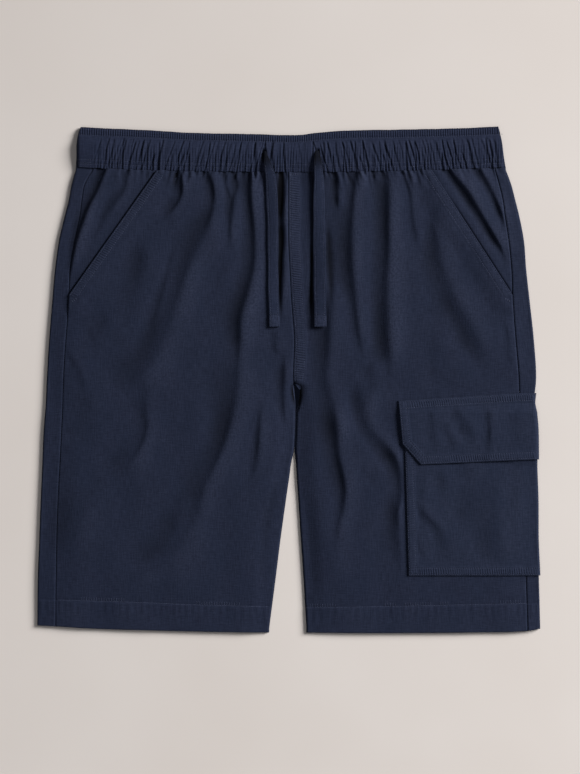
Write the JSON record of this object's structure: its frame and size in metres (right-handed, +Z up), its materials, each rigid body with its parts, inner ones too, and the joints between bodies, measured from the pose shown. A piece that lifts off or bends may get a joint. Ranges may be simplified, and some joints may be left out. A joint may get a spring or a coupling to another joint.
{
  "type": "cargo shorts",
  "caption": "Elastic-waist cargo shorts laid flat, with free drawcord ends, slant hand pockets and a flapped cargo pocket on one leg.",
  "frame": {"origin": "middle of the garment's outline, on the surface that it lies on", "axes": "+Z up from the surface, through the cloth; +Y towards the waist; +X to the viewer's right, the wearer's left leg"},
  "size_m": [0.5224, 0.5258, 0.0095],
  "materials": {
    "shell_cloth": "matt ripstop weave, soft with slight sheen on the folds",
    "waistband_cloth": "the same cloth gathered over elastic",
    "pocket_cloth": "the same cloth, pressed flatter",
    "drawcord_tape": "flat self-fabric tape",
    "thread": "polyester sewing thread, tone on tone"
  },
  "bodies": {
    "root": {"back_panel_left": "shell_cloth", "back_panel_right": "shell_cloth", "front_panel_left": "shell_cloth", "front_panel_right": "shell_cloth", "pocket_facing_left": "shell_cloth", "pocket_facing_right": "shell_cloth", "waistband_front": "waistband_cloth", "waistband_back": "waistband_cloth", "cargo_pocket_bag": "pocket_cloth", "cargo_pocket_flap": "pocket_cloth", "drawcord_left": "drawcord_tape", "drawcord_right": "drawcord_tape"}
  },
  "joints": []
}
